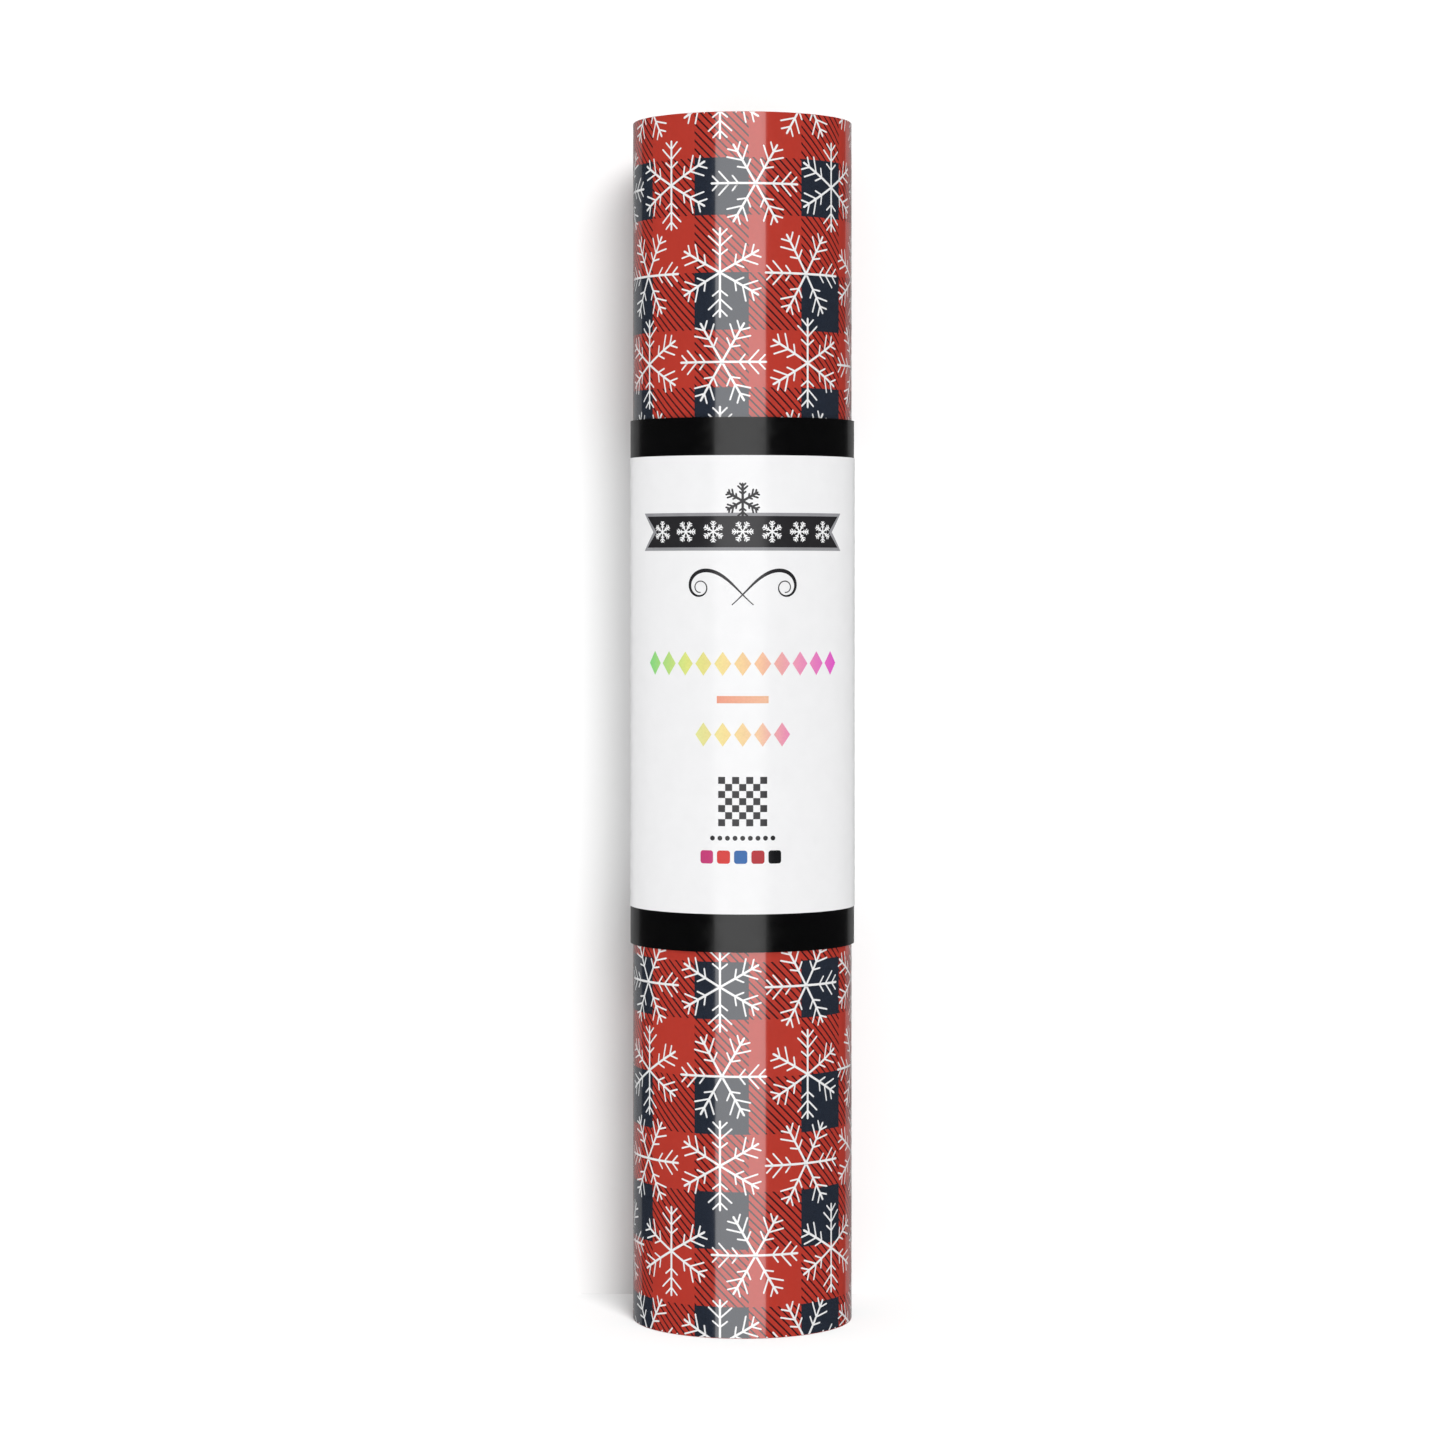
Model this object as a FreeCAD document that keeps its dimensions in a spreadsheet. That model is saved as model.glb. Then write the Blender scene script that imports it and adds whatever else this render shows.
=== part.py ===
import FreeCAD, Part

# A roll of printed film wound on a paperboard core, held shut by a paper band and a label.
#
# The roll stands on one end. Its axis is Z, and the origin is the middle of the lower end.
# +Y is the back, where every seam lies. Lengths are in millimetres and angles in degrees.
#
# Each wound piece is a two-centre spiral: half turns about two points on its own X axis,
# a quarter of the pitch each side of the middle. Every half turn starts where the last one
# ends, half a pitch further out, and shares its tangent there.

import math
import os

import Sketcher

OUTPUT_FOLDER = "parts"

SIZES = {
    # the roll
    "roll_length": (305, "width of the film, and length of the roll and its core"),
    "core_bore_radius": (23.3, "inside of the paperboard core"),
    "core_wall": (2.0, "wall of the core"),
    "film_thickness": (0.2, "printed film with its clear carrier"),
    "film_air": (0.07, "air left between one turn and the next"),
    "film_turns": (9, "whole turns of film on the core"),
    "film_edge_angle": (118, "where the film starts on the core, and where its free edge lies"),
    # the tapes that hold the film's two ends
    "core_tape_thickness": (0.15, "double-sided tape under the film's inner end"),
    "core_tape_width": (19, "tape's width round the core"),
    "core_tape_inset": (6, "bare core beyond each end of the tape"),
    "tab_thickness": (0.08, "clear tape over the film's free edge"),
    "tab_reach": (12, "how far a tab runs each side of the free edge"),
    "tab_width": (19, "width of a tab along the roll"),
    "tab_inset": (38, "from an end of the roll to the middle of its tab"),
    # the band and the label, which slide along the roll together
    "sliding_gap": (0.15, "room between the tabs and the inside of the band"),
    "band_base": (96, "lower edge of the band above the roll's lower end"),
    "band_width": (133, "the band along the roll"),
    "band_thickness": (0.15, "black paper"),
    "band_glue": (0.08, "adhesive in the band's overlap"),
    "band_overlap": (15, "how far the band's end laps over its start"),
    "band_seam_angle": (78, "where the band starts, near the back"),
    "label_margin": (9.5, "black band showing above and below the label"),
    "label_bond": (0.03, "adhesive film between the band and the label"),
    "label_thickness": (0.12, "coated white paper"),
    "label_overlap": (12, "how far the label's end laps over its start"),
}

X_AXIS = -1
START, END, CENTRE = 1, 2, 3
HALF_TURN = 180
FAILED_STATES = "Invalid", "Error"


def make_sheet(document):
    """The driving sizes, one row each: its name, its value and what it is."""
    sheet = document.addObject("Spreadsheet::Sheet", "Sizes")
    for row, (alias, (value, note)) in enumerate(SIZES.items(), start=1):
        sheet.set(f"A{row}", alias)
        sheet.set(f"B{row}", str(value))
        sheet.set(f"C{row}", note)
        sheet.setAlias(f"B{row}", alias)
    document.recompute()
    return sheet


def size(alias):
    """The expression that reads one cell of the sheet."""
    return f"Sizes.{alias}"


def number(document, expression):
    """What an expression comes to now, as a plain number."""
    found = document.getObject("Sizes").evalExpression(expression)
    return float(getattr(found, "Value", found))


def bind(thing, **expressions):
    """Ties properties to expressions. Two underscores in a name stand for a dot."""
    for path, expression in expressions.items():
        thing.setExpression(path.replace("__", "."), expression)


def stand_at(thing, base="0", turn="0"):
    """Lifts a sub-part to its base height and turns it about the roll's axis."""
    about_z = FreeCAD.Rotation(FreeCAD.Vector(0, 0, 1), 1)
    thing.Placement = FreeCAD.Placement(FreeCAD.Vector(), about_z)
    bind(thing, Placement__Base__z=base, Placement__Rotation__Angle=turn)


def arc_angle(width, radius):
    """The angle that a width takes up round a radius."""
    return f"(({width}) / ({radius}) * 180 / pi)"


# ---------------------------------------------------------------- sketches of wound pieces


def new_body(document, label):
    body = document.addObject("PartDesign::Body", label)
    body.Label = label
    sketch = body.newObject("Sketcher::SketchObject", f"{label}_section")
    ground = next(f for f in body.Origin.OriginFeatures if f.Role == "XY_Plane")
    sketch.AttachmentSupport = [(ground, "")]
    sketch.MapMode = "FlatFace"
    return body, sketch


def pad(body, sketch, height):
    feature = body.newObject("PartDesign::Pad", f"{body.Label}_pad")
    feature.Profile = sketch
    sketch.Visibility = False
    bind(feature, Length=height)
    body.Tip = feature
    return body


def constrain(sketch, *terms, name=None, expression=None):
    """Adds one constraint, and binds its value where it has one."""
    index = sketch.addConstraint(Sketcher.Constraint(*terms))
    if name:
        sketch.renameConstraint(index, name)
        sketch.setExpression(f"Constraints.{name}", expression)
    return index


def add_arc(sketch, centre_x, radius, first, last):
    """An arc about a point on the X axis, between two angles."""
    circle = Part.Circle(FreeCAD.Vector(centre_x, 0, 0), FreeCAD.Vector(0, 0, 1), radius)
    arc = Part.ArcOfCircle(circle, math.radians(first), math.radians(last))
    return sketch.addGeometry(arc, False)


def add_line(sketch, start, end):
    """A straight edge between the named ends of two arcs already drawn."""
    points = [sketch.getPoint(*at) for at in (start, end)]
    line = sketch.addGeometry(Part.LineSegment(*points), False)
    constrain(sketch, "Coincident", line, START, *start)
    constrain(sketch, "Coincident", line, END, *end)
    return line


def add_centres(sketch, pitch, pitch_now):
    """The spiral's two centres: the first for its 1st, 3rd, 5th half turn, the other for the rest."""
    centres = []
    for side, name in ((-1, "first_centre"), (1, "second_centre")):
        at = FreeCAD.Vector(side * pitch_now / 4, 0, 0)
        point = sketch.addGeometry(Part.Point(at), True)
        constrain(sketch, "PointOnObject", point, START, X_AXIS)
        constrain(
            sketch, "DistanceX", X_AXIS, START, point, START, side * pitch_now / 4,
            name=name, expression=f"({pitch}) * {side} / 4",
        )
        centres.append(point)
    return centres


def cut_square(sketch, line, centre, angle, name):
    """Makes an end cut run straight out from its centre, at an angle."""
    constrain(sketch, "PointOnObject", centre, START, line)
    now = math.radians(number(sketch.Document, angle))
    constrain(sketch, "Angle", line, now, name=name, expression=f"({angle}) * 1 deg")


def wound_piece(document, label, inner, thickness, pitch, first, last, height):
    """A strip wound from one angle to another, each further turn a pitch further out."""
    body, sketch = new_body(document, label)
    inner_now, thick_now, pitch_now, first_now, last_now = (
        number(document, x) for x in (inner, thickness, pitch, first, last)
    )
    centres = add_centres(sketch, pitch, pitch_now)
    halves = math.ceil(last_now / HALF_TURN)
    faces = []
    for side, radius, radius_now in (
        ("inner", inner, inner_now),
        ("outer", f"{inner} + {thickness}", inner_now + thick_now),
    ):
        arcs = []
        for half in range(halves):
            odd = half % 2
            turned = (half - odd) * HALF_TURN
            begin = max(half * HALF_TURN, first_now) - turned
            finish = min((half + 1) * HALF_TURN, last_now) - turned
            centre_x = (odd - 0.5) * pitch_now / 2
            grown = radius_now + half * pitch_now / 2
            arc = add_arc(sketch, centre_x, grown, begin, finish)
            constrain(sketch, "Coincident", arc, CENTRE, centres[odd], START)
            if arcs:
                constrain(sketch, "Coincident", arc, START, arcs[-1], END)
            else:
                constrain(
                    sketch, "Radius", arc, radius_now, name=f"{side}_radius", expression=radius
                )
            if half < halves - 1 or last_now % HALF_TURN == 0:
                constrain(sketch, "PointOnObject", arc, END, X_AXIS)
            arcs.append(arc)
        faces.append(arcs)
    start_cut = add_line(sketch, (faces[0][0], START), (faces[1][0], START))
    end_cut = add_line(sketch, (faces[0][-1], END), (faces[1][-1], END))
    if first_now == 0:
        for arcs in faces:
            constrain(sketch, "PointOnObject", arcs[0], START, X_AXIS)
    else:
        cut_square(sketch, start_cut, centres[0], first, "start_angle")
    if last_now % HALF_TURN:
        last_in_turn = f"({last}) - {(halves - 1) // 2 * 2 * HALF_TURN}"
        cut_square(sketch, end_cut, centres[(halves - 1) % 2], last_in_turn, "end_angle")
    return pad(body, sketch, height)


def arc_strip(document, label, inner, outer, angle, height, centre=("0", "0")):
    """A strip that follows a round surface: a wedge of a cylinder with a smaller one cut out."""
    blank = document.addObject("Part::Cylinder", f"{label}_blank")
    bind(blank, Radius=outer, Height=height, Angle=angle)
    hollow = document.addObject("Part::Cylinder", f"{label}_hollow")
    bind(hollow, Radius=inner, Height=height)
    for cylinder in (blank, hollow):
        bind(cylinder, Placement__Base__x=centre[0], Placement__Base__y=centre[1])
    strip = document.addObject("Part::Cut", label)
    strip.Base = blank
    strip.Tool = hollow
    strip.Label = label
    return strip


# ---------------------------------------------------------------- radii shared by the pieces

CORE_RADIUS = f"({size('core_bore_radius')} + {size('core_wall')})"
FILM_PITCH = f"({size('film_thickness')} + {size('film_air')})"
FILM_START = f"({CORE_RADIUS} + {size('core_tape_thickness')} + {FILM_PITCH} / 4)"
FILM_ANGLE = f"({size('film_turns')} * 360)"
# outside of the film's last half turn, and of the half turn that its free edge lies on
LAST_OUTSIDE = f"({FILM_START} + ({size('film_turns')} - 0.5) * {FILM_PITCH} + {size('film_thickness')})"
UNDER_EDGE = f"({LAST_OUTSIDE} - {FILM_PITCH} / 2)"
# the roll's outermost point, at the free edge
ROLL_RADIUS = f"({LAST_OUTSIDE} + {FILM_PITCH} / 4)"

BAND_PITCH = f"({size('band_thickness')} + {size('band_glue')})"
BAND_START = f"({ROLL_RADIUS} + {size('tab_thickness')} + {size('sliding_gap')} + {BAND_PITCH} / 4)"
BAND_LAP = arc_angle(size("band_overlap"), BAND_START)
LABEL_START = f"({BAND_START} + {size('band_thickness')} + {size('label_bond')})"
LABEL_LAP = arc_angle(size("label_overlap"), LABEL_START)
LABEL_BASE = f"({size('band_base')} + {size('label_margin')})"
LABEL_WIDTH = f"({size('band_width')} - 2 * {size('label_margin')})"


# ---------------------------------------------------------------- the sub-parts


def make_core_tube(document):
    """The paperboard tube: two circles, padded to the roll's length."""
    body, sketch = new_body(document, "core_tube")
    for name, radius in (("bore", size("core_bore_radius")), ("outside", CORE_RADIUS)):
        radius_now = number(document, radius)
        circle = Part.Circle(FreeCAD.Vector(), FreeCAD.Vector(0, 0, 1), radius_now)
        edge = sketch.addGeometry(circle, False)
        constrain(sketch, "Coincident", edge, CENTRE, X_AXIS, START)
        constrain(sketch, "Radius", edge, radius_now, name=name, expression=radius)
    return pad(body, sketch, size("roll_length"))


def make_core_tape(document):
    """Double-sided tape along the core, under the film's inner end."""
    angle = arc_angle(size("core_tape_width"), CORE_RADIUS)
    outer = f"{CORE_RADIUS} + {size('core_tape_thickness')}"
    height = f"{size('roll_length')} - 2 * {size('core_tape_inset')}"
    tape = arc_strip(document, "core_tape", CORE_RADIUS, outer, angle, height)
    stand_at(tape, size("core_tape_inset"), size("film_edge_angle"))
    return tape


def make_printed_film(document):
    """The film, wound in whole turns, so that its two ends lie at the same angle."""
    film = wound_piece(
        document,
        "printed_film",
        inner=FILM_START,
        thickness=size("film_thickness"),
        pitch=FILM_PITCH,
        first="0",
        last=FILM_ANGLE,
        height=size("roll_length"),
    )
    stand_at(film, turn=size("film_edge_angle"))
    return film


def make_tail_tab(document, label, middle):
    """Clear tape across the film's free edge, with a step where the film ends under it."""
    body, sketch = new_body(document, label)
    pitch_now = number(document, FILM_PITCH)
    first_centre, second_centre = add_centres(sketch, FILM_PITCH, pitch_now)
    reach = arc_angle(size("tab_reach"), LAST_OUTSIDE)
    reach_now = number(document, reach)
    on_film = number(document, LAST_OUTSIDE)
    below = number(document, UNDER_EDGE)
    thick = number(document, size("tab_thickness"))
    inside = add_arc(sketch, pitch_now / 4, on_film, -reach_now, 0)
    outside = add_arc(sketch, pitch_now / 4, on_film + thick, -reach_now, 0)
    beyond_outside = add_arc(sketch, -pitch_now / 4, on_film + pitch_now / 2 + thick, 0, reach_now)
    beyond_inside = add_arc(sketch, -pitch_now / 4, below, 0, reach_now)
    for arc in (inside, outside):
        constrain(sketch, "Coincident", arc, CENTRE, second_centre, START)
        constrain(sketch, "PointOnObject", arc, END, X_AXIS)
    for arc in (beyond_outside, beyond_inside):
        constrain(sketch, "Coincident", arc, CENTRE, first_centre, START)
    constrain(sketch, "PointOnObject", beyond_inside, START, X_AXIS)
    constrain(sketch, "Coincident", beyond_outside, START, outside, END)
    for arc, radius_now, name, radius in (
        (inside, on_film, "on_film", LAST_OUTSIDE),
        (outside, on_film + thick, "over_film", f"{LAST_OUTSIDE} + {size('tab_thickness')}"),
        (beyond_inside, below, "under_edge", UNDER_EDGE),
    ):
        constrain(sketch, "Radius", arc, radius_now, name=name, expression=radius)
    add_line(sketch, (inside, END), (beyond_inside, START))
    near_cut = add_line(sketch, (inside, START), (outside, START))
    far_cut = add_line(sketch, (beyond_inside, END), (beyond_outside, END))
    cut_square(sketch, near_cut, second_centre, f"0 - {reach}", "near_end")
    cut_square(sketch, far_cut, first_centre, reach, "far_end")
    pad(body, sketch, size("tab_width"))
    stand_at(body, f"{middle} - {size('tab_width')} / 2", size("film_edge_angle"))
    return body


def make_black_band(document):
    """The band: one turn, and an overlap on top of its own start."""
    band = wound_piece(
        document,
        "black_band",
        inner=BAND_START,
        thickness=size("band_thickness"),
        pitch=BAND_PITCH,
        first="0",
        last=f"(360 + {BAND_LAP})",
        height=size("band_width"),
    )
    stand_at(band, size("band_base"), size("band_seam_angle"))
    return band


def make_band_glue(document):
    """The adhesive that fills the band's overlap."""
    glue = arc_strip(
        document,
        "band_glue_strip",
        inner=f"{BAND_START} + {size('band_thickness')}",
        outer=f"{BAND_START} + {BAND_PITCH}",
        angle=BAND_LAP,
        height=size("band_width"),
        centre=(f"0 - {BAND_PITCH} / 4", "0"),
    )
    stand_at(glue, size("band_base"), size("band_seam_angle"))
    return glue


def make_white_label(document):
    """The label: it starts where the band's overlap ends, follows the band round and laps itself."""
    label = wound_piece(
        document,
        "white_label",
        inner=LABEL_START,
        thickness=size("label_thickness"),
        pitch=BAND_PITCH,
        first=BAND_LAP,
        last=f"(360 + {BAND_LAP} + {LABEL_LAP})",
        height=LABEL_WIDTH,
    )
    stand_at(label, LABEL_BASE, size("band_seam_angle"))
    return label


def make_label_glue(document):
    """The adhesive that fills the label's overlap. It turns with the end of the band's overlap."""
    away = f"{BAND_PITCH} / 4"
    glue = arc_strip(
        document,
        "label_glue_strip",
        inner=f"{LABEL_START} + {size('label_thickness')}",
        outer=f"{LABEL_START} + {BAND_PITCH}",
        angle=LABEL_LAP,
        height=LABEL_WIDTH,
        centre=(f"0 - {away} * cos({BAND_LAP} * 1 deg)", f"{away} * sin({BAND_LAP} * 1 deg)"),
    )
    stand_at(glue, LABEL_BASE, f"{size('band_seam_angle')} + {BAND_LAP}")
    return glue


# ---------------------------------------------------------------- the whole roll


def check_and_write(document, sub_parts):
    """Stops on any failed object or bad solid, then writes one STEP file per sub-part."""
    for thing in document.Objects:
        bad = [state for state in FAILED_STATES if state in thing.State]
        if bad:
            raise RuntimeError(f"{thing.Label} is {', '.join(bad)}")
    for thing in sub_parts:
        shape = thing.Shape
        if shape.isNull() or not shape.isValid() or len(shape.Solids) != 1:
            raise RuntimeError(f"{thing.Label} has no single valid solid")
    os.makedirs(OUTPUT_FOLDER, exist_ok=True)
    for thing in sub_parts:
        thing.Shape.exportStep(os.path.join(OUTPUT_FOLDER, f"{thing.Label}.step"))
        box = thing.Shape.BoundBox
        print(
            f"{thing.Label}: {thing.Shape.Volume:.1f} mm3,"
            f" x {box.XMin:.2f} to {box.XMax:.2f}, y {box.YMin:.2f} to {box.YMax:.2f},"
            f" z {box.ZMin:.2f} to {box.ZMax:.2f}"
        )


def main():
    document = FreeCAD.newDocument("film_roll")
    make_sheet(document)
    upper_tab = f"({size('roll_length')} - {size('tab_inset')})"
    sub_parts = [
        make_core_tube(document),
        make_core_tape(document),
        make_printed_film(document),
        make_tail_tab(document, "tail_tab_upper", upper_tab),
        make_tail_tab(document, "tail_tab_lower", size("tab_inset")),
        make_black_band(document),
        make_band_glue(document),
        make_white_label(document),
        make_label_glue(document),
    ]
    document.recompute()
    check_and_write(document, sub_parts)


main()
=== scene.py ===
"""A roll of printed film on a paperboard core, closed by a black band and a white label.

Everything is built round the CAD frame of the roll: Z is the roll's axis, -Y its front and the
floor is at Z = 0. Outlines are drawn flat, in millimetres, and then laid round the roll.
"""

import math
import random

import bmesh
import bpy
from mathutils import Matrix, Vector
from mathutils.geometry import tessellate_polygon


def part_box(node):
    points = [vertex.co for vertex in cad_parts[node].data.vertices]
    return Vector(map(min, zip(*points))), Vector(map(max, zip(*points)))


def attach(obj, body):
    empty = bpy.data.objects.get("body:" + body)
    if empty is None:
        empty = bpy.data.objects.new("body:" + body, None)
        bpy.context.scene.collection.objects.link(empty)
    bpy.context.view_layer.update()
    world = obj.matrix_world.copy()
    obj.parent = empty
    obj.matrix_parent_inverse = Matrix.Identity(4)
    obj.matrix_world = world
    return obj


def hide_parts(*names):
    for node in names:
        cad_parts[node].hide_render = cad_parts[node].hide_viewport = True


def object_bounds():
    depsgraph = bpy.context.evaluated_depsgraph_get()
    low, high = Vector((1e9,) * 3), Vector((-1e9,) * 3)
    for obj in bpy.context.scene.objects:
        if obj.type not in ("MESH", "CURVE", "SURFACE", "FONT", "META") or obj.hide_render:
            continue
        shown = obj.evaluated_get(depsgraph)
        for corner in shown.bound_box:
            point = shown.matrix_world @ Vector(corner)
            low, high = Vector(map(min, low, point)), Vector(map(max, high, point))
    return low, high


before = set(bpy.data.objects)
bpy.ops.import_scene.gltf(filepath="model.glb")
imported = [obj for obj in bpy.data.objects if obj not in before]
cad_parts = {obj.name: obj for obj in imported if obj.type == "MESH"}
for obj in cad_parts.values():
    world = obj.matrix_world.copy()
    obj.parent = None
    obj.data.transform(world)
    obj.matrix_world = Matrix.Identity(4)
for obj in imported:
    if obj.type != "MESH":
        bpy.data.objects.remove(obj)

bl_info = {
    "name": "Printed film roll",
    "version": (1, 0, 0),
    "blender": (4, 5, 0),
    "location": "View3D > Sidebar > Film roll",
    "description": "Builds a roll of printed film with its core, tapes, band and label",
    "category": "Object",
}

CAD_BOX = [list(corner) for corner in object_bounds()]
MM = 0.001
BAKE_MAP = "OFBake"


# ---------------------------------------------------------------- sizes read from the frame


def radii(node):
    """The nearest and furthest that a node of the frame comes to the roll's axis, in millimetres."""
    reach = [math.hypot(v.co.x, v.co.y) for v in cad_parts[node].data.vertices]
    return min(reach) / MM, max(reach) / MM


def heights(node):
    """A node's lower and upper end, in millimetres."""
    low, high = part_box(node)
    return low.z / MM, high.z / MM


# ---------------------------------------------------------------- what a user may change


def linear(hex_colour):
    """An sRGB hex colour as linear red, green and blue."""
    parts = [int(hex_colour[i : i + 2], 16) / 255 for i in (0, 2, 4)]
    return tuple(p / 12.92 if p <= 0.04045 else ((p + 0.055) / 1.055) ** 2.4 for p in parts)


def length(name, description, millimetres):
    return bpy.props.FloatProperty(
        name=name, description=description, default=millimetres * MM, unit="LENGTH", precision=5
    )


def angle(name, description, degrees):
    return bpy.props.FloatProperty(
        name=name, description=description, default=math.radians(degrees), unit="ROTATION"
    )


def colour(name, description, hex_colour):
    return bpy.props.FloatVectorProperty(
        name=name, description=description, default=linear(hex_colour), subtype="COLOR", size=3
    )


class RollSizes(bpy.types.PropertyGroup):
    """Sizes of the layers and of the print."""

    film_thickness: length("Film", "Thickness of the film", 0.2)
    film_pitch: length("Film pitch", "From one turn of film to the next", 0.27)
    film_turns: bpy.props.IntProperty(name="Turns", description="Turns of film", default=9, min=1)
    film_edge: angle("Free edge", "Where the film's free edge lies", 118)
    tab_thickness: length("Tab", "Thickness of the clear tape", 0.08)
    tab_reach: length("Tab reach", "How far a tab runs each side of the free edge", 12)
    band_thickness: length("Band", "Thickness of the black paper", 0.15)
    band_pitch: length("Band pitch", "From the band's start to its overlap", 0.23)
    band_overlap: length("Band overlap", "How far the band laps over itself", 15)
    band_seam: angle("Band seam", "Where the band starts", 78)
    label_bond: length("Label bond", "Adhesive between band and label", 0.03)
    label_thickness: length("Label", "Thickness of the label", 0.12)
    label_overlap: length("Label overlap", "How far the label laps over itself", 12)
    check_width: length("Check width", "One square of the check, round the roll", 13.9)
    check_height: length("Check height", "One square of the check, along the roll", 14.285)
    check_start: length("Check start", "Edge of a navy column from the front line", 1.5)
    check_top: length("Check top", "From the roll's upper end to the first navy row", 11.45)
    hatch_pitch: length("Hatch pitch", "From line to line of the hatch, round the roll", 2.1)
    hatch_width: length("Hatch width", "Width of one line of the hatch", 0.4)
    flake_radius: length("Snowflake", "From a snowflake's middle to its tips", 11.35)
    flake_stroke: length("Stroke", "Width of a snowflake's arms", 0.56)
    flake_across: length("Snowflake spacing", "From snowflake to snowflake in a row", 22.5)
    flake_along: length("Row spacing", "From row to row of snowflakes", 22.2)
    flake_top: length("First row", "From the roll's upper end to the first row", 17.9)


class RollColours(bpy.types.PropertyGroup):
    """Colours of the print and of the papers."""

    red: colour("Red", "Ground of the print", "C23B2E")
    navy: colour("Navy", "Solid squares of the check", "262D3A")
    hatch: colour("Hatch", "Lines over the mixed squares", "3C171B")
    white: colour("White", "Snowflakes", "FFFFFF")
    black: colour("Black", "The band", "060607")
    label: colour("Label", "The label's paper", "F9F9FA")
    label_dark: colour("Label dark", "Dark print on the label", "2B2A2D")
    kraft: colour("Kraft", "The core's outer paper", "A88A67")


def mm(name):
    """One of the sizes, in millimetres."""
    return getattr(bpy.context.scene.roll_sizes, name) / MM


def degrees(name):
    return math.degrees(getattr(bpy.context.scene.roll_sizes, name))


def tint(name):
    """One of the colours, with an alpha of 1."""
    return (*getattr(bpy.context.scene.roll_colours, name), 1.0)


# ---------------------------------------------------------------- windings


class Winding:
    """A strip wound as half turns about two centres, each half turn half a pitch further out.

    Angles are in degrees along the strip from its start, which lies at the seam.
    """

    def __init__(self, start_radius, pitch, seam):
        self.start_radius = start_radius
        self.pitch = pitch
        self.seam = seam

    def radius(self, at):
        return self.start_radius + math.floor(at / 180) * self.pitch / 2

    def point(self, at, lift):
        """x and y at an angle along the strip, this far outside its inner face."""
        half = math.floor(at / 180)
        centre = (0.5 if half % 2 else -0.5) * self.pitch / 2
        reach = self.radius(at) + lift
        local = math.radians(at)
        x = centre + reach * math.cos(local)
        y = reach * math.sin(local)
        turn = math.radians(self.seam)
        return x * math.cos(turn) - y * math.sin(turn), x * math.sin(turn) + y * math.cos(turn)

    def outward(self, at):
        world = math.radians(at + self.seam)
        return Vector((math.cos(world), math.sin(world), 0))

    def front(self, turn):
        """The angle along the strip at which it passes the front of the roll in this turn."""
        return (270 - self.seam) % 360 + 360 * turn


def film_winding():
    pitch = mm("film_pitch")
    return Winding(radii("printed_film")[0] + pitch / 4, pitch, degrees("film_edge"))


def band_winding():
    pitch = mm("band_pitch")
    return Winding(radii("black_band")[0] + pitch / 4, pitch, degrees("band_seam"))


def label_winding():
    band = band_winding()
    start = band.start_radius + mm("band_thickness") + mm("label_bond")
    return Winding(start, band.pitch, band.seam)


def span(width, radius):
    """The angle that a width takes up round a radius, in degrees."""
    return math.degrees(width / radius)


# ---------------------------------------------------------------- meshes


class Sheet:
    """Collects points and faces with the true direction at every corner, then makes the piece."""

    def __init__(self):
        self.points = []
        self.faces = []
        self.directions = []
        self.places = []
        self.materials = []

    def add_points(self, points):
        first = len(self.points)
        self.points.extend(points)
        return first

    def add_face(self, corners, directions, places, material=0):
        self.faces.append(corners)
        self.directions.extend(directions)
        self.places.extend(places)
        self.materials.append(material)

    def make(self, name, materials):
        """The finished object. Corner directions become its normals, places its bake map."""
        mesh = bpy.data.meshes.new(name)
        mesh.from_pydata([Vector(p) * MM for p in self.points], [], self.faces)
        for material in materials:
            mesh.materials.append(material)
        mesh.polygons.foreach_set("material_index", self.materials)
        mesh.polygons.foreach_set("use_smooth", [True] * len(self.faces))
        layer = mesh.uv_layers.new(name=BAKE_MAP)
        layer.uv.foreach_set("vector", [x for place in self.places for x in place])
        mesh.update()
        mesh.normals_split_custom_set(self.directions)
        piece = bpy.data.objects.new(name, mesh)
        bpy.context.scene.collection.objects.link(piece)
        return piece


UP = Vector((0, 0, 1))
MARGIN = 0.004


def on_map(x, y):
    """A place on the bake map, kept just inside its edge."""
    inside = 1 - 2 * MARGIN
    return MARGIN + inside * min(max(x, 0), 1), MARGIN + inside * min(max(y, 0), 1)


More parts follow.
